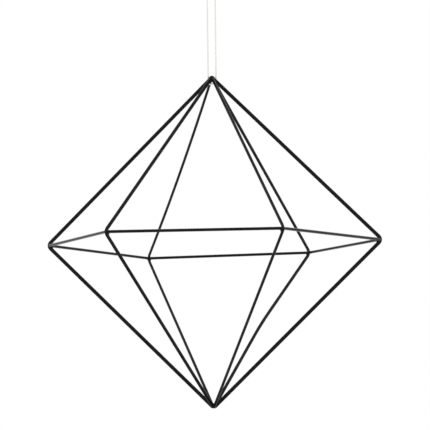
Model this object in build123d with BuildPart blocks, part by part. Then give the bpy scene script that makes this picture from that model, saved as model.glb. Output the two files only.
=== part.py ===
from build123d import *
from math import atan2, cos, hypot, pi, radians, sin, tan
import os

os.makedirs("parts", exist_ok=True)

# Hanging ornament: a frame of two six-sided pyramids set base to base, made of wire, on a loop of cord.
# Millimetres. The origin is the point of the hook that the cord loop hangs on, with +Z up and -Y to the front.

# Frame
OVERALL_WIDTH = 300.0     # over two opposite ring corners, outside to outside
OVERALL_HEIGHT = 296.8    # from the top of the top weld to the foot of the bottom weld
SIDES = ("right", "back_right", "back_left", "left", "front_left", "front_right")
BARS = ("back_right", "back", "back_left", "front_left", "front", "front_right")
SIDE_STEP = 360 / len(SIDES)

# Hand set: this frame is bent and welded by hand, and its ring, foot, two corners and two arms are off true
RING_DROP = 1.8           # how far the ring lies below the middle of the frame's height
FOOT_SHIFT = 0.8          # how far the foot of the frame lies to the left of its top
LOW_CORNER = "back_left"
LOW_CORNER_DROP = 3.2     # how far that corner hangs below the ring
LOW_CORNER_TURN = 1.6     # how far its rib is turned about the axis, degrees
WIDE_CORNER = "back_right"
WIDE_CORNER_DROP = 0.4
WIDE_CORNER_REACH = 1.5   # how much further that corner reaches out
UPPER_BOW_SIDE = "back_left"
UPPER_BOW = 3.25          # how far the middle of that rib's upper arm is bowed inwards
UPPER_BOW_SPREAD = 0.9    # the share of each half of the arm that the bow's curve takes
LOWER_BOW_SIDE = "back_right"
LOWER_BOW = 4.7           # how far the middle of that rib's lower arm is bent inwards
LOWER_BOW_SPREAD = 0.15

# Wire: the ribs are flat wire with round edges, standing on edge, and the ring bars are round wire
RIB_WIDTH = 3.4
RIB_THICKNESS = 1.6
RIB_BEND = 4.0            # radius of a rib's centre line at its ring corner
RIB_END_GAP = 0.6         # how far a rib's end stops short of where it would meet its neighbour's side
BAR_DIAMETER = 2.6
BAR_OUTSET = 0.3          # how far outside a rib's centre line the ring bars' centre lines meet

# Welds
WELD_REACH = 0.7          # how far the top and bottom welds reach out over the ribs' ends
WELD_ROUND = 2.5
TOP_WELD_HEIGHT = 5.6
TOP_WELD_CROWN = 1.6      # how far the top weld rises above where the ribs' centre lines would meet
BOTTOM_WELD_HEIGHT = 3.6
BOTTOM_WELD_CROWN = 0.1   # how far the bottom weld reaches below where they would meet
CORNER_WELD_RADIUS = 2.2
CORNER_WELD_DROP = 0.8    # how far a corner weld's bead lies below the bars' centre lines

# Cord
CORD_DIAMETER = 1.2
HANG_LENGTH = 87.6        # from the hang point down to the top of the frame
STRAND_CLEARANCE = 0.62   # between a strand and the rib on each side of it
SADDLE_CLEARANCE = 0.15   # between the cord's run under the top weld and what it passes under
SADDLE_BEND = 2.0
SADDLE_RISE = 1.0         # how far the saddle's ends stand above the top of the frame
KNOT_DROP = 11.0          # from the hang point down to the knot
KNOT_WIDTH = 3.4
KNOT_HEIGHT = 4.2
TAIL_LENGTH = 8.0
TAIL_ANGLE = 35.0         # between each tail and the level

# Heights that follow from the sizes above
top_z = -HANG_LENGTH
bottom_z = top_z - OVERALL_HEIGHT
ring_z = (top_z + bottom_z) / 2 - RING_DROP
rise = top_z - TOP_WELD_CROWN - ring_z
fall = ring_z - (bottom_z + BOTTOM_WELD_CROWN)
slope = atan2((rise + fall) / 2, OVERALL_WIDTH / 2)
bend_gap = RIB_BEND * (1 / sin(slope) - 1)
corner_reach = OVERALL_WIDTH / 2 - RIB_WIDTH / 2 + bend_gap

# The ribs' axis, from where their centre lines would meet at the foot to where they would meet at the top
top_point = Vector(0, 0, top_z - TOP_WELD_CROWN)
foot_point = Vector(-FOOT_SHIFT, 0, bottom_z + BOTTOM_WELD_CROWN)
axis_length = (top_point - foot_point).length
axis_up = (top_point - foot_point).normalized()

# Distances from the axis at the top and bottom, where the ribs crowd together
half_step = radians(SIDE_STEP - LOW_CORNER_TURN) / 2
rib_standoff = RIB_THICKNESS / 2 / sin(half_step) + RIB_END_GAP
weld_radius = rib_standoff + WELD_REACH
strand_reach = (RIB_THICKNESS / 2 + CORD_DIAMETER / 2 + STRAND_CLEARANCE) / sin(half_step)
strand_side = strand_reach * cos(radians(SIDE_STEP / 2))
strand_back = strand_reach * sin(radians(SIDE_STEP / 2))


def ring_corner(side):
    """Where the arms of a rib would meet at the ring."""
    angle = radians(SIDE_STEP * SIDES.index(side) + (LOW_CORNER_TURN if side == LOW_CORNER else 0))
    reach = corner_reach + (WIDE_CORNER_REACH if side == WIDE_CORNER else 0)
    drop = {LOW_CORNER: LOW_CORNER_DROP, WIDE_CORNER: WIDE_CORNER_DROP}.get(side, 0)
    return Vector(reach * cos(angle), reach * sin(angle), ring_z - drop)


def rib_plane(corner):
    """The plane of the ribs' axis and a ring corner, from the top: local X points outwards, local Y up the axis."""
    out = corner - top_point
    level = (out - axis_up * out.dot(axis_up)).normalized()
    return Plane(origin=top_point, x_dir=level, z_dir=level.cross(axis_up))


def weld_round(height):
    """The rounding of a weld, as far as its height and radius allow it."""
    return min(WELD_ROUND, 0.47 * height, 0.9 * weld_radius)


def bow(start, end, depth, spread):
    """Where the halves of an arm that is bowed inwards would meet, and the radius of the curve between them."""
    arm = end - start
    inward = Vector(arm.Y, -arm.X).normalized()
    meet = depth / (1 - spread / 2)
    return (start + end) / 2 + inward * meet, spread * arm.length ** 2 / (4 * meet)


# Ribs
rib_planes, ribs, corners, slopes = [], [], [], []
for side in SIDES:
    plane = rib_plane(ring_corner(side))
    top, foot = Vector(0, 0), Vector(0, -axis_length)
    corner = plane.to_local_coords(ring_corner(side))
    turns = [(corner, RIB_BEND)]
    if UPPER_BOW and side == UPPER_BOW_SIDE:
        turns.insert(0, bow(top, corner, UPPER_BOW, UPPER_BOW_SPREAD))
    if LOWER_BOW and side == LOWER_BOW_SIDE:
        turns.append(bow(corner, foot, LOWER_BOW, LOWER_BOW_SPREAD))
    with BuildPart() as rib:
        with BuildLine(plane) as centre:
            FilletPolyline(
                *[(point.X, point.Y) for point in (top, *[turn[0] for turn in turns], foot)],
                radius=[turn[1] for turn in turns],
            )
        start = centre.line % 0
        slopes.append(atan2(-start.Z, hypot(start.X, start.Y)))
        with BuildSketch(Plane(centre.line @ 0, x_dir=plane.z_dir.cross(start), z_dir=start)):
            SlotOverall(RIB_WIDTH, RIB_THICKNESS)
        sweep()
        with Locations(Plane((top_point + foot_point) / 2, x_dir=plane.x_dir, z_dir=axis_up)):
            Cylinder(rib_standoff, axis_length + 4 * RIB_WIDTH, mode=Mode.SUBTRACT)
    rib.part.label = "rib_" + side
    export_step(rib.part, "parts/rib_" + side + ".step")
    rib_planes.append(plane)
    ribs.append(rib)
    corners.append(centre.edges().filter_by(GeomType.CIRCLE).sort_by(SortBy.RADIUS)[0] @ 0.5)

# Ring bars, each the run between two ribs, coped to their sides
bars = []
for i, side in enumerate(BARS):
    j = (i + 1) % len(SIDES)
    ends = [corners[k] + rib_planes[k].x_dir * BAR_OUTSET for k in (i, j)]
    span = ends[1] - ends[0]
    along = span.normalized()
    with BuildPart() as bar:
        with BuildSketch(Plane(ends[0] - along * BAR_DIAMETER, z_dir=along)):
            Circle(BAR_DIAMETER / 2)
        extrude(amount=span.length + 2 * BAR_DIAMETER)
        split(bisect_by=rib_planes[i], keep=Keep.BOTTOM)
        split(bisect_by=rib_planes[j], keep=Keep.TOP)
        add(ribs[i].part, mode=Mode.SUBTRACT)
        add(ribs[j].part, mode=Mode.SUBTRACT)
    run = bar.part.solids().sort_by(SortBy.VOLUME)[-1]
    run.label = "ring_bar_" + side
    export_step(run, "parts/ring_bar_" + side + ".step")
    bars.append(run)

# Corner welds, in the inner corner of each rib and mostly below its bars
for i, side in enumerate(SIDES):
    with BuildPart() as corner_weld:
        bead = corners[i] - rib_planes[i].x_dir * RIB_WIDTH / 2 - Vector(0, 0, CORNER_WELD_DROP)
        with Locations(Plane(bead, x_dir=rib_planes[i].x_dir, z_dir=axis_up)):
            Sphere(CORNER_WELD_RADIUS)
        add(ribs[i].part, mode=Mode.SUBTRACT)
        add(bars[i], mode=Mode.SUBTRACT)
        add(bars[i - 1], mode=Mode.SUBTRACT)
    corner_weld.part.label = "corner_weld_" + side
    export_step(corner_weld.part, "parts/corner_weld_" + side + ".step")

# Top and bottom welds, round buttons between the ribs' ends
with BuildPart() as top_weld:
    with Locations((0, 0, top_z - TOP_WELD_HEIGHT / 2)):
        Cylinder(weld_radius, TOP_WELD_HEIGHT, rotation=(0, 0, SIDE_STEP / 2))
    fillet(top_weld.edges().filter_by(GeomType.CIRCLE), weld_round(TOP_WELD_HEIGHT))
    add([rib.part for rib in ribs], mode=Mode.SUBTRACT)
top_weld.part.label = "top_weld"
export_step(top_weld.part, "parts/top_weld.step")

with BuildPart() as bottom_weld:
    with Locations((foot_point.X, 0, bottom_z + BOTTOM_WELD_HEIGHT / 2)):
        Cylinder(weld_radius, BOTTOM_WELD_HEIGHT, rotation=(0, 0, SIDE_STEP / 2))
    fillet(bottom_weld.edges().filter_by(GeomType.CIRCLE), weld_round(BOTTOM_WELD_HEIGHT))
    add([rib.part for rib in ribs], mode=Mode.SUBTRACT)
bottom_weld.part.label = "bottom_weld"
export_step(bottom_weld.part, "parts/bottom_weld.step")

# Cord loop: it carries the frame by its two back ribs, and comes up between them and the ribs at the sides.
# It hangs straight from the hang point to that run, so its plane leans back a little.
steepest = max(slopes)
crossing = strand_back / sin(2 * half_step) + RIB_THICKNESS / 2 / tan(2 * half_step)
rib_underside = top_z - TOP_WELD_CROWN - crossing * tan(steepest) - RIB_WIDTH / 2 / cos(steepest)
weld_underside = top_z - TOP_WELD_HEIGHT
cord_gap = SADDLE_CLEARANCE + CORD_DIAMETER / 2
saddle_z = min(rib_underside - cord_gap / cos(steepest), weld_underside - cord_gap)
saddle_top = top_z + SADDLE_RISE
crown_z = CORD_DIAMETER / 2 - strand_side
lean = atan2(strand_back, -saddle_z)
cord_plane = Plane(origin=(0, 0, 0), x_dir=(1, 0, 0), z_dir=(0, -cos(lean), -sin(lean)))

with BuildPart() as crown:
    with BuildLine(cord_plane) as route:
        CenterArc((0, crown_z), strand_side, 0, 180)
    with BuildSketch(Plane(route.line @ 0, z_dir=route.line % 0)):
        Circle(CORD_DIAMETER / 2)
    sweep()
crown.part.label = "cord_crown"
export_step(crown.part, "parts/cord_crown.step")
crown_length = route.wire().length

strands = []
for name, offset in (("cord_strand_left", -strand_side), ("cord_strand_right", strand_side)):
    with BuildPart() as strand:
        with BuildSketch(Plane(cord_plane.from_local_coords(Vector(offset, saddle_top)), z_dir=cord_plane.y_dir)):
            Circle(CORD_DIAMETER / 2)
        extrude(amount=crown_z - saddle_top)
    strand.part.label = name
    export_step(strand.part, "parts/" + name + ".step")
    strands.append(strand)

with BuildPart() as saddle:
    with BuildLine(cord_plane) as route:
        FilletPolyline(
            (-strand_side, saddle_top),
            (-strand_side, saddle_z),
            (strand_side, saddle_z),
            (strand_side, saddle_top),
            radius=SADDLE_BEND,
        )
    with BuildSketch(Plane(route.line @ 0, z_dir=route.line % 0)):
        Circle(CORD_DIAMETER / 2)
    sweep()
saddle.part.label = "cord_saddle"
export_step(saddle.part, "parts/cord_saddle.step")
saddle_length = route.wire().length

# Knot on the left strand, with two short tails that stand away from the loop
with BuildPart() as knot:
    with BuildSketch(cord_plane):
        with BuildLine():
            EllipticalCenterArc(
                (-strand_side, -KNOT_DROP), KNOT_WIDTH / 2, KNOT_HEIGHT / 2, start_angle=-90, arc_size=180
            )
            Line((-strand_side, -KNOT_DROP + KNOT_HEIGHT / 2), (-strand_side, -KNOT_DROP - KNOT_HEIGHT / 2))
        make_face()
    revolve(axis=Axis(cord_plane.from_local_coords(Vector(-strand_side, 0)), cord_plane.y_dir))
    for rise_angle in (TAIL_ANGLE, -TAIL_ANGLE):
        out = -cord_plane.x_dir * cos(radians(rise_angle)) + cord_plane.y_dir * sin(radians(rise_angle))
        with BuildSketch(Plane(cord_plane.from_local_coords(Vector(-strand_side, -KNOT_DROP)), z_dir=out)):
            Circle(CORD_DIAMETER / 2)
        extrude(amount=TAIL_LENGTH)
    add(strands[0].part, mode=Mode.SUBTRACT)
knot.part.label = "cord_knot"
export_step(knot.part, "parts/cord_knot.step")

# Cord facts: bend radii, length, and each tube's volume against its section times its length
section = pi * CORD_DIAMETER ** 2 / 4
strand_length = crown_z - saddle_top
print("cord bend radii", strand_side, SADDLE_BEND)
print("cord loop length", round(crown_length + 2 * strand_length + saddle_length, 2))
for name, tube, length in (("crown", crown, crown_length), ("saddle", saddle, saddle_length)):
    print(name, "volume over section times length", round(tube.part.volume / (section * length), 4))
print("saddle to top weld", round(saddle.part.distance_to(top_weld.part), 3))
for rib in ribs:
    print("saddle to", rib.part.label, round(saddle.part.distance_to(rib.part), 3))
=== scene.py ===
from math import cos, pi, radians, sin, sqrt, tan

import bpy
import numpy as np
from mathutils import Matrix, Vector


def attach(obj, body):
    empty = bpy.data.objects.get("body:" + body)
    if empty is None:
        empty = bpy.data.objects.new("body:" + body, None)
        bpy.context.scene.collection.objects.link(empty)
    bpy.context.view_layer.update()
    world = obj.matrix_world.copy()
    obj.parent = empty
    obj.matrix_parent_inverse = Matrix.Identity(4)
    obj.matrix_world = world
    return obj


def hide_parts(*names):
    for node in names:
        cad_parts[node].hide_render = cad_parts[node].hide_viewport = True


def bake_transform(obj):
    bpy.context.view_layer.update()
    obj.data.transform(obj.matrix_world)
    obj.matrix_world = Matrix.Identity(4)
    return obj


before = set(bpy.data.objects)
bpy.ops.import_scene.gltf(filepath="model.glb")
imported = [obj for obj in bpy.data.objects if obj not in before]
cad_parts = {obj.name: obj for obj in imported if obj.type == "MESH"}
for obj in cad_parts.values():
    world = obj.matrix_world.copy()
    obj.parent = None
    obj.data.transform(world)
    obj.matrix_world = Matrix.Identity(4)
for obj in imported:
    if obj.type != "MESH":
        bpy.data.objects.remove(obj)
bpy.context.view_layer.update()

# Hanging wire ornament: a six-sided frame of black wire on a loop of pale cord.
# Metres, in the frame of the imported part: the origin is the hook, +Z is up and -Y is to the front.

# Frame
RING_HEIGHT = -0.2378
TOP_POINT = -0.0892
BOTTOM_POINT = -0.3843
CORNER_REACH = 0.150004
SIDES = ("right", "back_right", "back_left", "left", "front_left", "front_right")
FOOT_SHIFT = 0.0008       # the foot lies this far to the left of the top
DROPPED = {"back_left": 0.0032, "back_right": 0.0004}
OUTSET = {"back_right": 0.0015}
TURNED = {"back_left": 1.6}    # degrees round the axis
# How far inwards the two halves of a bowed arm would meet
BOWED = {("back_left", TOP_POINT): 0.005909, ("back_right", BOTTOM_POINT): 0.005081}
RIB_WIDTH = 0.0034
RIB_THICKNESS = 0.0016
RIB_BEND = 0.004
BAR_DIAMETER = 0.0026
BAR_OUTSET = 0.0003       # how far outside a rib's centre line those of its bars meet

# Cord loop
CORD_DIAMETER = 0.0012
STRAND_OFFSET = 0.0035858
CROWN_HEIGHT = -0.0029858
HOOK_TOP = 0.0006
KNOT_HEIGHT = -0.011
SADDLE_TOP = -0.0866
LEAN = radians(1.2328)    # the loop leans back, so that its strands go down behind the side ribs
UP = Vector((0, 0, 1))
ACROSS = Vector((1, 0, 0))
LOOP_UP = Vector((0, -sin(LEAN), cos(LEAN)))
ASIDE = LOOP_UP.cross(ACROSS)    # to the back


class Value:
    """A node's output. Sums, products and quotients of values add Math nodes."""

    def __init__(self, graph, socket):
        self.graph = graph
        self.socket = socket

    def __add__(self, other):
        return self.graph.math("ADD", self, other)

    def __sub__(self, other):
        return self.graph.math("SUBTRACT", self, other)

    def __rsub__(self, other):
        return self.graph.math("SUBTRACT", other, self)

    def __mul__(self, other):
        return self.graph.math("MULTIPLY", self, other)

    def __truediv__(self, other):
        return self.graph.math("DIVIDE", self, other)

    __radd__ = __add__
    __rmul__ = __mul__


class Graph:
    """A node tree being filled. Each node is made by one method."""

    def __init__(self, tree):
        self.tree = tree

    def node(self, kind, settings=None, inputs=None, output=0):
        made = self.tree.nodes.new(kind)
        for name, value in (settings or {}).items():
            setattr(made, name, value)
        for name, value in (inputs or {}).items():
            self.feed(made.inputs[name], value)
        return Value(self, made.outputs[output])

    def feed(self, socket, value):
        if isinstance(value, Value):
            self.tree.links.new(value.socket, socket)
        else:
            socket.default_value = value

    def math(self, operation, *inputs):
        return self.node("ShaderNodeMath", {"operation": operation}, dict(enumerate(inputs)))

    def vector(self, operation, *inputs, output="Vector"):
        settings = {"operation": operation}
        return self.node("ShaderNodeVectorMath", settings, dict(enumerate(inputs)), output)

    def noise(self, place, scale, detail=2.0, roughness=0.5):
        return self.node(
            "ShaderNodeTexNoise", None,
            {"Vector": place, "Scale": scale, "Detail": detail, "Roughness": roughness},
        )

    def ramp(self, value, low, high, start=0.0, end=1.0):
        """A smooth step of a value from start to end."""
        return self.node(
            "ShaderNodeMapRange", {"interpolation_type": "SMOOTHSTEP"},
            {"Value": value, "From Min": low, "From Max": high, "To Min": start, "To Max": end},
        )

    def mix(self, factor, first, second):
        """A mix of two colours. The node has sockets 6 and 7 and output 2 for them."""
        return self.node(
            "ShaderNodeMix", {"data_type": "RGBA"},
            {0: factor, 6: (*first, 1.0), 7: (*second, 1.0)}, output=2,
        )

    def bump(self, height, strength, depth):
        return self.node("ShaderNodeBump", None, {"Height": height, "Strength": strength, "Distance": depth})

    def store(self, geometry, name, kind, value):
        """The geometry with a named value on each of its points."""
        return self.node(
            "GeometryNodeStoreNamedAttribute", {"data_type": kind},
            {"Geometry": geometry, "Name": name, "Value": value},
        )

    def stored(self, name, kind):
        return self.node("GeometryNodeInputNamedAttribute", {"data_type": kind}, {"Name": name})


# Finishes
COAT_DARK, COAT_PALE = (0.0060, 0.0059, 0.0057), (0.0090, 0.0088, 0.0085)
YARN_DARK, YARN_PALE = (0.72, 0.73, 0.655), (0.80, 0.81, 0.74)


def new_finish(name):
    """A material, its graph and its main shader."""
    material = bpy.data.materials.new(name)
    material.use_nodes = True
    return material, Graph(material.node_tree), material.node_tree.nodes["Principled BSDF"]


def black_coat(name, peel_depth, peel_scale):
    """Satin black powder coat: slow patches of sheen, the powder's peel and its fine tooth."""
    material, graph, shader = new_finish(name)
    place = graph.node("ShaderNodeTexCoord", output="Object")
    patches = graph.ramp(graph.noise(place, 60, 3), 0.35, 0.65)
    peel = graph.noise(place, peel_scale, 2)
    tooth = graph.noise(place, 4600, 1)
    graph.feed(shader.inputs["Base Color"], graph.mix(patches, COAT_DARK, COAT_PALE))
    graph.feed(shader.inputs["Roughness"], 0.17 + 0.06 * patches + 0.04 * tooth)
    graph.feed(shader.inputs["Normal"], graph.bump(0.7 * peel + 0.3 * tooth, 0.5, peel_depth))
    return material


def cotton_yarn():
    """Off-white cotton: fibres along each ply, painted shade darkening the grooves between the plies, no
    gloss.
    """
    material, graph, shader = new_finish("cotton_yarn")
    lay = graph.node("ShaderNodeAttribute", {"attribute_name": "lay"}, output="Vector")
    groove = graph.node("ShaderNodeAttribute", {"attribute_name": "groove"}, output="Fac")
    along = graph.node("ShaderNodeMapping", None, {"Vector": lay, "Scale": (9.0, 9.0, 420.0)})
    fibres = graph.noise(along, 1.0, 3, 0.6)
    slubs = graph.noise(graph.node("ShaderNodeTexCoord", output="Object"), 260, 2)
    # painted shade: the colour darkens where the plies meet in a groove, on top of the random fibres and
    # slubs
    shade = graph.ramp(fibres + 0.5 * slubs - 0.9 * groove, 0.1, 0.95)
    graph.feed(shader.inputs["Base Color"], graph.mix(shade, YARN_DARK, YARN_PALE))
    graph.feed(shader.inputs["Roughness"], 0.95 - 0.15 * fibres)
    graph.feed(shader.inputs["Normal"], graph.bump(fibres, 0.7, 0.00006))
    shader.inputs["Sheen Weight"].default_value = 0.25
    shader.inputs["Specular IOR Level"].default_value = 0.25
    return material


COAT = black_coat("satin_black_coat", 0.00003, 700)
WELD_COAT = black_coat("coat_over_weld", 0.00012, 420)
YARN = cotton_yarn()


def new_piece(name, mesh, body, slot, *nodes):
    """A finished piece that stands for CAD nodes and rides on a body, if one is given."""
    piece = bpy.data.objects.new(name, mesh)
    bpy.context.scene.collection.objects.link(piece)
    if body:
        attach(piece, body)
    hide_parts(*nodes)
    return piece


# Wires: the ribs and ring bars are the CAD's own, in the coat
for name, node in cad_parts.items():
    if name.startswith(("rib_", "ring_bar_")):
        node.data.materials.clear()
        node.data.materials.append(COAT)


# Welds
WELD_CELL = 0.00022
WELD_SKIN = 0.00003       # how far a weld's skin lies over the wires
WELD_SINK = 0.0005        # how far its rim sinks into them
SINK_START = 0.5          # the share of a weld's reach at which its rim begins to sink
SINK_LENGTH = 0.35        # the share over which it sinks
SKIN_END = 0.94           # the share at which the skin is closed off
CORNER_WELD_REACH = 0.0052
CORNER_WELD_INSET = 0.0006    # from its bead to its middle
CORNER_BEAD_RADIUS = 0.0017
CORNER_BEAD_DROP = 0.0008
CORNER_FILLET = 0.0013
POINT_WELD_REACH = 0.009
RIB_STOP = 0.003          # how far from the axis the ribs end, which the corner welds don't reach


def axis_shift(height):
    """How far left of the top the ribs' axis lies at a height. The welds are worked out with it upright."""
    return FOOT_SHIFT * (TOP_POINT - height) / (TOP_POINT - BOTTOM_POINT)


def ring_corner(i):
    """Where a rib's two arms would meet."""
    side = SIDES[i % 6]
    angle = radians(60 * (i % 6) + TURNED.get(side, 0))
    reach = CORNER_REACH + OUTSET.get(side, 0)
    height = RING_HEIGHT - DROPPED.get(side, 0)
    return Vector((reach * cos(angle) + axis_shift(height), reach * sin(angle), height))


def side_axis(i):
    """Which way a rib points from the frame's axis."""
    return (ring_corner(i) * Vector((1, 1, 0))).normalized()


def rib_corner(i):
    """The ring corner in the rib's own plane."""
    corner = ring_corner(i)
    return Vector((corner.xy.length, corner.z))


def arm_points(i, end):
    """A rib's arm in its own plane: its ring corner, its middle where it is bowed, and its end."""
    corner, point = rib_corner(i), Vector((0, end))
    depth = BOWED.get((SIDES[i % 6], end))
    if not depth:
        return [corner, point]
    arm = point - corner
    inward = Vector((-abs(arm.y), arm.x if end == TOP_POINT else -arm.x)).normalized()
    return [corner, (corner + point) / 2 + inward * depth, point]


def rib_bend(i):
    """A rib's bend in its own plane: its centre, the ends of its two arms there, and the way it points."""
    corner = rib_corner(i)
    arms = [(arm_points(i, end)[1] - corner).normalized() for end in (TOP_POINT, BOTTOM_POINT)]
    half = arms[0].angle(arms[1]) / 2
    inward = (arms[0] + arms[1]).normalized()
    middle = corner + inward * RIB_BEND / sin(half)
    return middle, [corner + arm * RIB_BEND / tan(half) for arm in arms], -inward


def rib_tip(i):
    """The outermost place on a rib's centre line."""
    middle, _, out = rib_bend(i)
    tip = middle + out * RIB_BEND
    return side_axis(i) * tip.x + UP * tip.y


def bar_end(i):
    """Where the ring bars' centre lines meet at a rib."""
    return rib_tip(i) + side_axis(i) * BAR_OUTSET


def flat_wire(level, rise):
    """Distance to a rib's wire, flat with round edges, from those across its width and its thickness."""
    level = np.maximum(level - (RIB_WIDTH - RIB_THICKNESS) / 2, 0)
    return np.hypot(level, rise) - RIB_THICKNESS / 2


def to_run(points, start, end):
    """Each point's offset from the nearest place on a straight run."""
    start, end = np.array(start), np.array(end)
    share = np.clip((points - start) @ (end - start) / ((end - start) @ (end - start)), 0, 1)
    return points - start - share[:, None] * (end - start)


def rib_distance(points, i, stop):
    """Distance to a rib, whose arms end that far from the axis."""
    out = np.array(side_axis(i))
    rise = points @ np.cross((0, 0, 1), out)
    place = np.stack([points @ out, points[:, 2]], axis=1)
    middle, ends, way = rib_bend(i)
    level = np.full(len(points), np.inf)
    for bend_end, end in zip(ends, (TOP_POINT, BOTTOM_POINT)):
        *inner, point = arm_points(i, end)[1:]
        before = inner[0] if inner else bend_end
        runs = [bend_end, *inner, point + (before - point) * (stop / before.x)]
        for first, last in zip(runs, runs[1:]):
            level = np.minimum(level, np.linalg.norm(to_run(place, first, last), axis=1))
    from_middle = place - np.array(middle)
    away = np.linalg.norm(from_middle, axis=1)
    sweep = (ends[0] - middle).normalized() @ way
    in_bend = from_middle @ np.array(way) > sweep * away
    level = np.where(in_bend, np.minimum(level, np.abs(away - RIB_BEND)), level)
    return flat_wire(level, rise)


def bar_distance(points, i):
    """Distance to a ring bar, which is round and runs between two ribs."""
    return np.linalg.norm(to_run(points, bar_end(i), bar_end(i + 1)), axis=1) - BAR_DIAMETER / 2


def bead_distance(points, middle, radius):
    """Distance to a round bead."""
    return np.linalg.norm(points - np.array(middle), axis=1) - radius


def melted(first, second, depth):
    """Two distances run together with a fillet about as deep as said."""
    share = np.clip(0.5 + 0.5 * (second - first) / depth, 0, 1)
    return second + (first - second) * share - depth * share * (1 - share)


def unpinched(distance):
    """The grid, filled where a cell's face is crossed twice, so that no two sheets of skin share an edge."""
    filled = distance.copy()
    steps = np.eye(3, dtype=int)
    pinched = True
    while pinched:
        pinched = False
        for u, v in ((0, 1), (1, 2), (2, 0)):
            inside = filled < 0
            ahead, over = np.roll(inside, -1, u), np.roll(inside, -1, v)
            crossed_twice = (inside == np.roll(ahead, -1, v)) & (ahead == over) & (inside != ahead)
            for at in np.argwhere(crossed_twice):
                corners = [tuple(at + steps[u] * a + steps[v] * b) for a, b in np.ndindex(2, 2)]
                outer = [corner for corner in corners if filled[corner] >= 0]
                if len(outer) == 2:
                    filled[min(outer, key=lambda corner: filled[corner])] = -0.1 * WELD_CELL
                pinched = True
    return filled


def skin(distance, low):
    """The closed surface where a grid of distances is zero, with one point in each cell that it crosses."""
    shape = distance.shape
    inside = distance < 0
    total = np.zeros([n - 1 for n in shape] + [3])
    count = np.zeros([n - 1 for n in shape])

    def corner(at):
        return distance[tuple(slice(a, n - 1 + a) for a, n in zip(at, shape))]

    for at in np.ndindex(2, 2, 2):
        for axis in range(3):
            if at[axis] == 0:
                step = np.eye(3)[axis]
                first, second = corner(at), corner(tuple(int(v) for v in at + step))
                crossed = (first < 0) != (second < 0)
                share = np.where(crossed, first / np.where(crossed, first - second, 1), 0)
                total += crossed[..., None] * (np.array(at) + share[..., None] * step)
                count += crossed
    cells = count > 0
    number = np.full(cells.shape, -1)
    number[cells] = np.arange(cells.sum())
    points = np.array(low) + WELD_CELL * (np.argwhere(cells) + total[cells] / count[cells][:, None])
    faces = []
    for axis in range(3):
        u, v = (axis + 1) % 3, (axis + 2) % 3
        at = np.argwhere(inside != np.roll(inside, -1, axis))
        at = at[(at[:, axis] < shape[axis] - 1) & (at[:, u] > 0) & (at[:, v] > 0)]
        ring = []
        for du, dv in ((0, 0), (1, 0), (1, 1), (0, 1)):
            cell_at = at.copy()
            cell_at[:, u] -= du
            cell_at[:, v] -= dv
            ring.append(number[tuple(cell_at.T)])
        ring = np.stack(ring, axis=1)
        faces.append(np.where(inside[tuple(at.T)][:, None], ring, ring[:, ::-1]))
    return points, np.concatenate(faces)


def weld_piece(node, middle, reach, parts, fillet):
    """A weld as one smooth skin over the wires that it joins. It sinks into them where it ends."""
    count = int(2 * reach / WELD_CELL) + 4
    low = np.array(middle) - WELD_CELL * (count - 1) / 2
    steps = np.arange(count) * WELD_CELL
    grid = np.meshgrid(*[start + steps for start in low], indexing="ij")
    points = np.stack(grid, axis=-1).reshape(-1, 3)
    distance = parts[0](points)
    for part in parts[1:]:
        distance = melted(distance, part(points), fillet)
    away = np.linalg.norm(points - np.array(middle), axis=1)
    fade = np.clip((away / reach - SINK_START) / SINK_LENGTH, 0, 1)
    distance = distance - WELD_SKIN + WELD_SINK * fade * fade * (3 - 2 * fade)
    distance = np.maximum(distance, away - SKIN_END * reach)
    corners, faces = skin(unpinched(distance.reshape([count] * 3)), low)
    corners[:, 0] -= axis_shift(corners[:, 2])
    mesh = bpy.data.meshes.new(node)
    mesh.from_pydata(corners.tolist(), [], faces.tolist())
    mesh.polygons.foreach_set("use_smooth", [True] * len(mesh.polygons))
    mesh.materials.append(WELD_COAT)
    new_piece(node + "_skin", mesh, "frame", "frame", node)


for i, side in enumerate(SIDES):
    bead = rib_tip(i) - side_axis(i) * RIB_WIDTH / 2 - UP * CORNER_BEAD_DROP
    weld_piece(
        "corner_weld_" + side, bead - side_axis(i) * CORNER_WELD_INSET, CORNER_WELD_REACH,
        (
            lambda points: rib_distance(points, i, RIB_STOP),
            lambda points: bar_distance(points, i - 1),
            lambda points: bar_distance(points, i),
            lambda points: bead_distance(points, bead, CORNER_BEAD_RADIUS),
        ),
        CORNER_FILLET,
    )

for node, height, radius, stop, fillet in (
    ("top_weld", -0.0906, 0.0030, 0.0026, 0.0006),
    ("bottom_weld", -0.3823, 0.0023, 0.0013, 0.0008),
):
    middle = UP * height
    parts = [lambda points, i=i: rib_distance(points, i, stop) for i in range(6)]
    parts.append(lambda points: bead_distance(points, middle, radius))
    weld_piece(node, middle, POINT_WELD_REACH, parts, fillet)


# Cord: one length of yarn, tied into a loop
PLIES = 3
PLY_OFFSET = 0.3          # of the cord's radius, from its middle to a ply's
PLY_MEAN = 0.93           # the mean of the lobed section's radius over its greatest
YARN_LAY = 0.0034         # the length of one turn of the plies
YARN_STEP = 0.00012
YARN_SIDES = 24
# The run under the top weld, from the right strand to its middle: across, height and aside
SADDLE = ((STRAND_OFFSET, -0.0936, 0), (0.0031, -0.0953, -0.0002), (0, -0.0949, -0.0017))
# A bight of the knot: its tail, out, aside and up, and then its turns round the other bight, out and up
KNOT_TAIL = ((0.0064, 0.0009, 0.0044), (0.0036, 0.0013, 0.0029))
KNOT_TURNS = (
    (0.00135, 0.0013), (0.00145, -0.00062), (-0.00145, -0.00062),
    (-0.00135, 0.0012), (0, 0.0025), (0, 0.0034),
)


def in_loop(across, height, aside=0.0):
    """A place in the loop's plane, or aside of it."""
    return ACROSS * across + LOOP_UP * height + ASIDE * aside


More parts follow.
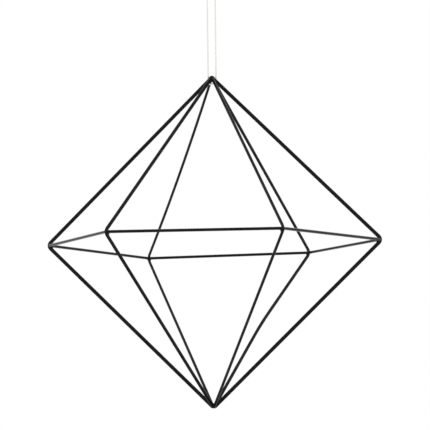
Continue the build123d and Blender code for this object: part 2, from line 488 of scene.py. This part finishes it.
def bight(way):
    """One of the knot's two hooked bights, from its tail's end to its strand: the upper (1) or lower (-1)."""
    middle = in_loop(-STRAND_OFFSET, KNOT_HEIGHT)
    lean = (ASIDE * way - ACROSS) / sqrt(2)
    tail = [middle - ACROSS * out + ASIDE * way * aside + UP * way * up for out, aside, up in KNOT_TAIL]
    return tail + [middle + lean * out + UP * way * up for out, up in KNOT_TURNS]


def cord_route():
    """The control points of the whole cord, from one tail of the knot round the loop to the other."""
    hook = [in_loop(-STRAND_OFFSET, HOOK_TOP), in_loop(STRAND_OFFSET, HOOK_TOP)]
    below_crown = CROWN_HEIGHT - 6 * CORD_DIAMETER
    right = [in_loop(STRAND_OFFSET, below_crown), in_loop(STRAND_OFFSET, SADDLE_TOP)]
    under = [in_loop(*place) for place in SADDLE]
    under += [in_loop(-across, height, aside) for across, height, aside in reversed(SADDLE[:-1])]
    left = in_loop(-STRAND_OFFSET, SADDLE_TOP)
    return [*bight(1), *hook, *right, *under, left, *reversed(bight(-1))]


def route_line(points):
    """The smooth line that has these control points, as a mesh of edges."""
    curve = bpy.data.curves.new("cord_route", "CURVE")
    curve.dimensions = "3D"
    curve.resolution_u = 24
    spline = curve.splines.new("NURBS")
    spline.points.add(len(points) - 1)
    for place, point in zip(spline.points, points):
        place.co = (*point, 1)
    spline.order_u = 3
    spline.use_endpoint_u = True
    route = bpy.data.objects.new("cord_route", curve)
    bpy.context.scene.collection.objects.link(route)
    line = bpy.data.meshes.new_from_object(route.evaluated_get(bpy.context.evaluated_depsgraph_get()))
    bpy.data.objects.remove(route)
    return line


def yarn_tree():
    """Plies twisted along a line: a lobed section, turned as it goes, with its lay kept for its finish."""
    tree = bpy.data.node_groups.new("twisted_yarn", "GeometryNodeTree")
    graph = Graph(tree)
    sockets = tree.interface
    sockets.new_socket("Route", in_out="INPUT", socket_type="NodeSocketGeometry")
    names = {}
    for kind, titles in (
        ("Float", ("Radius", "Ply offset", "Lay", "Step")),
        ("Int", ("Plies", "Sides")),
        ("Material", ("Material",)),
    ):
        for title in titles:
            socket = sockets.new_socket(title, in_out="INPUT", socket_type="NodeSocket" + kind)
            names[title] = socket.identifier
    sockets.new_socket("Yarn", in_out="OUTPUT", socket_type="NodeSocketGeometry")
    given = tree.nodes.new("NodeGroupInput")
    size = {socket.name: Value(graph, socket) for socket in given.outputs if socket.name}

    # The section: a circle with one lobe for each ply
    circle = graph.node(
        "GeometryNodeCurvePrimitiveCircle", None, {"Resolution": size["Sides"], "Radius": 1.0},
    )
    turn = graph.node("GeometryNodeSplineParameter", output="Factor")
    lobe = graph.math("FRACT", turn * size["Plies"])
    angle = (lobe - 0.5) * (2 * pi / PLIES)
    sine = graph.math("SINE", angle)
    offset = size["Ply offset"]
    ply = 1 - offset
    depth = graph.math("SQRT", ply * ply - offset * offset * sine * sine)
    height = offset * graph.math("COSINE", angle) + depth
    position = graph.node("GeometryNodeInputPosition")
    lobed = graph.node(
        "ShaderNodeVectorMath", {"operation": "SCALE"},
        {"Vector": position, "Scale": height * size["Radius"]},
    )
    section = graph.store(circle, "around", "FLOAT_VECTOR", position)
    # how deep in a groove each point lies, which the yarn's finish darkens as painted shade
    section = graph.store(section, "groove", "FLOAT", 1 - height)
    section = graph.node("GeometryNodeSetPosition", None, {"Geometry": section, "Position": lobed})

    # The line, which turns the section once in each lay
    line = graph.node("GeometryNodeMeshToCurve", None, {"Mesh": size["Route"]})
    line = graph.node(
        "GeometryNodeResampleCurve", {"mode": "LENGTH"}, {"Curve": line, "Length": size["Step"]},
    )
    length = graph.node("GeometryNodeSplineParameter", output="Length")
    line = graph.store(line, "along", "FLOAT", length)
    tilt = length * (2 * pi) / size["Lay"]
    line = graph.node("GeometryNodeSetCurveTilt", None, {"Curve": line, "Tilt": tilt})

    # The yarn
    yarn = graph.node(
        "GeometryNodeCurveToMesh", None, {"Curve": line, "Profile Curve": section, "Fill Caps": True},
    )
    ahead = graph.node("ShaderNodeCombineXYZ", None, {"Z": graph.stored("along", "FLOAT")})
    lay = graph.vector("ADD", graph.stored("around", "FLOAT_VECTOR"), ahead)
    yarn = graph.store(yarn, "lay", "FLOAT_VECTOR", lay)
    yarn = graph.node("GeometryNodeSetShadeSmooth", None, {"Geometry": yarn})
    yarn = graph.node("GeometryNodeRealizeInstances", None, {"Geometry": yarn})
    yarn = graph.node("GeometryNodeSetMaterial", None, {"Geometry": yarn, "Material": size["Material"]})
    result = tree.nodes.new("NodeGroupOutput")
    graph.feed(result.inputs["Yarn"], yarn)
    return tree, names


def twisted_yarn(line):
    """The yarn along a line of edges, as a plain mesh."""
    tree, names = yarn_tree()
    holder = bpy.data.objects.new("yarn", line)
    bpy.context.scene.collection.objects.link(holder)
    modifier = holder.modifiers.new("twisted_yarn", "NODES")
    modifier.node_group = tree
    values = {
        "Radius": CORD_DIAMETER / 2 / PLY_MEAN, "Ply offset": PLY_OFFSET, "Lay": YARN_LAY, "Step": YARN_STEP,
        "Plies": PLIES, "Sides": YARN_SIDES, "Material": YARN,
    }
    for name, value in values.items():
        modifier[names[name]] = value
    mesh = bpy.data.meshes.new_from_object(holder.evaluated_get(bpy.context.evaluated_depsgraph_get()))
    bpy.data.objects.remove(holder)
    return mesh


def read(mesh, name, width=1):
    """A mesh's named values, one row for each point."""
    values = np.zeros(len(mesh.vertices) * width, np.float32)
    mesh.attributes[name].data.foreach_get("vector" if width == 3 else "value", values)
    return values.reshape(-1, width)


class Yarn:
    """The whole cord's yarn, from which its stretches are cut at rings of points."""

    def __init__(self, mesh):
        self.points = np.array([v.co for v in mesh.vertices]).reshape(-1, YARN_SIDES, 3)
        self.lay = read(mesh, "lay", 3)
        self.groove = read(mesh, "groove")
        self.middles = self.points.mean(axis=1)

    def cut(self, name, runs):
        """A mesh of some runs of rings, each closed at its ends."""
        corners, faces, rows = [], [], []
        for run in runs:
            first = sum(len(r) for r in rows) * YARN_SIDES
            rows.append(run)
            index = first + np.arange(len(run) * YARN_SIDES).reshape(-1, YARN_SIDES)
            after = np.roll(index, -1, axis=1)
            quads = np.stack([index[:-1], after[:-1], after[1:], index[1:]], axis=-1).reshape(-1, 4)
            faces += quads.tolist() + [index[0][::-1].tolist(), index[-1].tolist()]
            corners += self.points[run].reshape(-1, 3).tolist()
        rows = np.concatenate(rows)
        mesh = bpy.data.meshes.new(name)
        mesh.from_pydata(corners, [], faces)
        mesh.polygons.foreach_set("use_smooth", [len(face) == 4 for face in faces])
        for title, kind, values, key in (
            ("lay", "FLOAT_VECTOR", self.lay, "vector"), ("groove", "FLOAT", self.groove, "value"),
        ):
            kept = values.reshape(len(self.points), -1)[rows].ravel()
            mesh.attributes.new(title, kind, "POINT").data.foreach_set(key, kept)
        mesh.materials.append(YARN)
        return mesh


KNOT_TOP, KNOT_FOOT = -0.0084, -0.0136
LOOP_FOOT = -0.018        # where the loop's top ends on the right strand
yarn = Yarn(twisted_yarn(route_line(cord_route())))
heights = yarn.middles[:, 2]
top_ring = int(heights.argmax())
low_ring = int(heights.argmin())
knot_end = int(np.flatnonzero(heights[:top_ring] < KNOT_TOP)[-1])
loop_end = top_ring + int(np.flatnonzero(heights[top_ring:] < LOOP_FOOT)[0])
knot_start = low_ring + int(np.flatnonzero(heights[low_ring:] > KNOT_FOOT)[0])
last_ring = len(heights) - 1

knot_mesh = yarn.cut("cord_knot_yarn", [np.arange(0, knot_end + 1), np.arange(knot_start, last_ring + 1)])
knot = new_piece("cord_knot_yarn", knot_mesh, "strands", "cord", "cord_knot")

for name, first, last, bodies, start, end, nodes in (
    ("cord_loop_yarn", knot_end, loop_end, ("loop_top", "strands"), CROWN_HEIGHT, KNOT_TOP, ["cord_crown"]),
    ("cord_strands_yarn", loop_end, knot_start, ("strands", "frame"), LOOP_FOOT, SADDLE_TOP,
     ["cord_strand_left", "cord_strand_right", "cord_saddle"]),
):
    stretch = new_piece(name, yarn.cut(name, [np.arange(first, last + 1)]), None, "cord", *nodes)
    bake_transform(stretch)

# Floor, well below the ornament, which fades into the white round it
FLOOR_HEIGHT = -0.66
FLOOR_REACH = 2.2
FLOOR_FADE = 0.5, 2.1     # how far out it begins to fade and is gone
FLOOR_SIDES = 64
FLOOR_DARK, FLOOR_PALE = (0.89, 0.89, 0.885), (0.93, 0.93, 0.925)


def pale_floor():
    """Matt white, clear at its rim and from below."""
    material, graph, shader = new_finish("pale_floor")
    place = graph.node("ShaderNodeTexCoord", output="Object")
    graph.feed(shader.inputs["Base Color"], graph.mix(graph.noise(place, 30, 3), FLOOR_DARK, FLOOR_PALE))
    shader.inputs["Roughness"].default_value = 0.9
    away = graph.vector("LENGTH", place, output="Value")
    behind = graph.node("ShaderNodeNewGeometry", output="Backfacing")
    graph.feed(shader.inputs["Alpha"], graph.ramp(away, *FLOOR_FADE, 1.0, 0.0) * (1 - behind))
    return material


floor_mesh = bpy.data.meshes.new("floor")
bearings = [2 * pi * k / FLOOR_SIDES for k in range(FLOOR_SIDES)]
rim = [(FLOOR_REACH * cos(bearing), FLOOR_REACH * sin(bearing), 0) for bearing in bearings]
floor_mesh.from_pydata(rim, [], [list(range(FLOOR_SIDES))])
floor_mesh.materials.append(pale_floor())
floor = bpy.data.objects.new("floor", floor_mesh)
floor.location.z = FLOOR_HEIGHT
floor.visible_glossy = False
bpy.context.scene.collection.objects.link(floor)

# Light: a white surround, of which the wires mirror only the wide backdrop behind the ornament,
# and two soft lamps
WHITE = (1, 1, 1, 1)
BACKDROP = Vector((cos(radians(84)), sin(radians(84)), 0))
BACKDROP_EDGE = 0.54, 0.68    # where it is gone and whole, as cosines of the angle from its middle
ROOM_GLOSS = 0.13         # how bright the wires mirror all else
world = bpy.data.worlds.new("white_studio")
bpy.context.scene.world = world
world.use_nodes = True
world.node_tree.nodes.clear()
sky = Graph(world.node_tree)
direction = sky.node("ShaderNodeTexCoord", output="Generated")
heading = sky.vector("NORMALIZE", sky.vector("MULTIPLY", direction, (1, 1, 0)))
facing = sky.vector("DOT_PRODUCT", heading, BACKDROP, output="Value")
gloss = sky.ramp(facing, *BACKDROP_EDGE, ROOM_GLOSS, 1.0)
mirrored = sky.node("ShaderNodeBackground", None, {"Color": WHITE, "Strength": gloss})
white = sky.node("ShaderNodeBackground", None, {"Color": WHITE, "Strength": 1.0})
in_gloss = sky.node("ShaderNodeLightPath", output="Is Glossy Ray")
both = sky.node("ShaderNodeMixShader", None, {0: in_gloss, 1: white, 2: mirrored})
output = world.node_tree.nodes.new("ShaderNodeOutputWorld")
sky.feed(output.inputs["Surface"], both)

for name, place, size, power in (
    ("lamp_left", (-1.5, -1.0, 1.1), 1.2, 3.0),
    ("lamp_right", (1.6, -0.6, 0.9), 1.4, 2.0),
):
    light = bpy.data.lights.new(name, "AREA")
    light.shape = "DISK"
    light.size = size
    light.energy = power
    lamp = bpy.data.objects.new(name, light)
    aim = Vector((0, 0, RING_HEIGHT)) - Vector(place)
    lamp.matrix_world = Matrix.Translation(place) @ aim.to_track_quat("-Z", "Y").to_matrix().to_4x4()
    bpy.context.scene.collection.objects.link(lamp)

bpy.context.scene.view_settings.view_transform = "Standard"

# Camera
EYE = Vector((0.235776, -1.903355, -0.398186))
YAW, PITCH, ROLL = radians(7.009), radians(-5.511), radians(-0.499)
lens = bpy.data.cameras.new("camera")
lens.lens = 181.0
lens.sensor_width = 36.0
lens.clip_start = 0.05
camera = bpy.data.objects.new("camera", lens)
bpy.context.scene.collection.objects.link(camera)
backward = Vector((sin(YAW) * cos(PITCH), -cos(YAW) * cos(PITCH), sin(PITCH)))
level = Vector((cos(YAW), sin(YAW), 0))
upward = backward.cross(level)
turn = Matrix((level * cos(ROLL) + upward * sin(ROLL), upward * cos(ROLL) - level * sin(ROLL), backward))
camera.matrix_world = Matrix.Translation(EYE) @ turn.transposed().to_4x4()
bpy.context.scene.camera = camera
